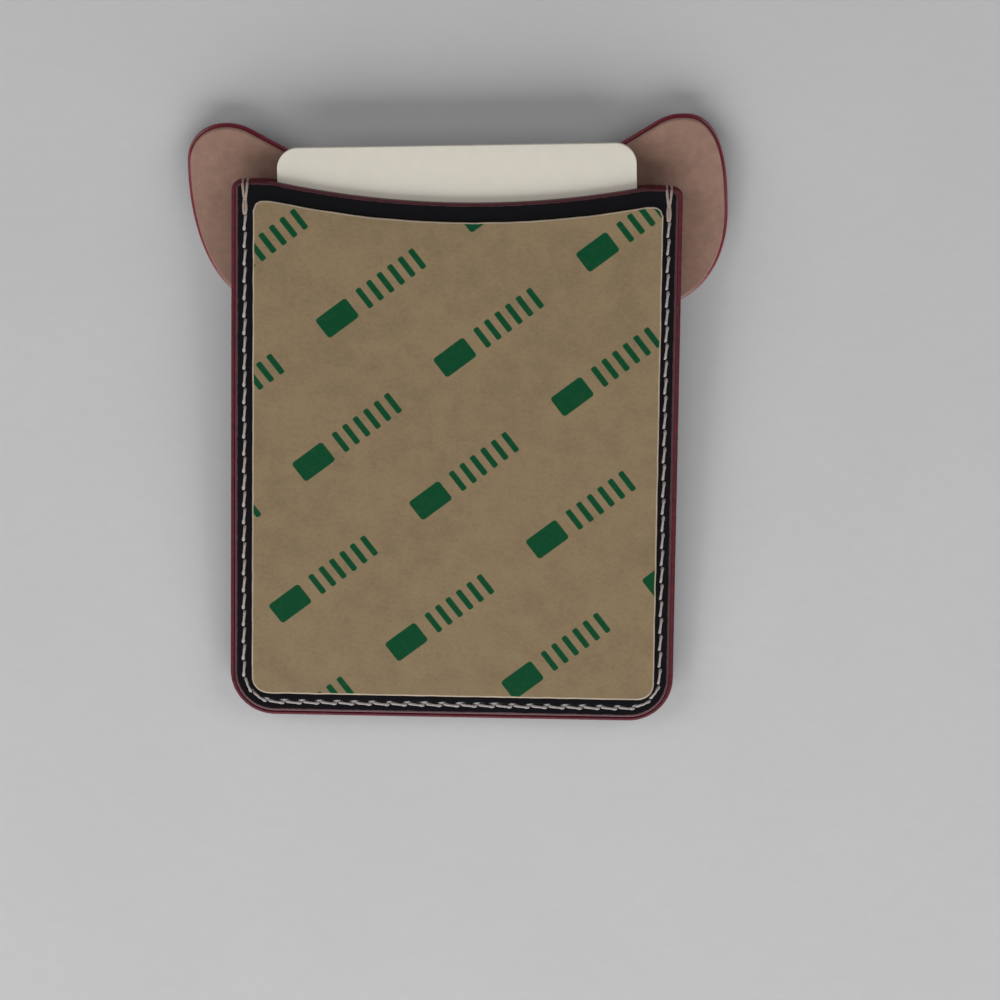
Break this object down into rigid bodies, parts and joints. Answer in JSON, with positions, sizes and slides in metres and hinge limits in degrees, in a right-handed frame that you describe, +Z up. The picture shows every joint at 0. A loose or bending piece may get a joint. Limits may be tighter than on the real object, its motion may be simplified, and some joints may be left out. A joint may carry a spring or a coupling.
{
  "type": "stick on phone card holder",
  "caption": "Flat sewn card pocket with an adhesive back under a paper liner, a hollow mouth with a card in it, and a flat bow strapped to its front; lying face down.",
  "frame": {"origin": "on the surface the holder lies on, under the middle of its outline seen from above", "axes": "+Y from the closed end towards the mouth, +Z up, away from the surface, which is the adhesive side"},
  "size_m": [0.0816, 0.094, 0.0087],
  "materials": {
    "kraft_liner": "smooth coated brown paper",
    "adhesive": "tacky foam",
    "black_panel": "high gloss lacquer",
    "edge_coat": "satin edge coat",
    "card": "matte, blank",
    "thread": "twisted polyester",
    "bow_lining": "matte, fine grain",
    "bow_face": "high gloss lacquer"
  },
  "bodies": {
    "root": {"release_liner": "kraft_liner", "adhesive_pad": "adhesive", "back_panel": "black_panel", "painted_edge": "edge_coat", "insert_card": "card", "front_panel": "black_panel", "seam_thread_back": "thread", "seam_thread_front": "thread", "back_tack_left": "thread", "back_tack_right": "thread", "bow_lining": "bow_lining", "bow_face": "bow_face", "bow_knot": "bow_face"}
  },
  "joints": []
}
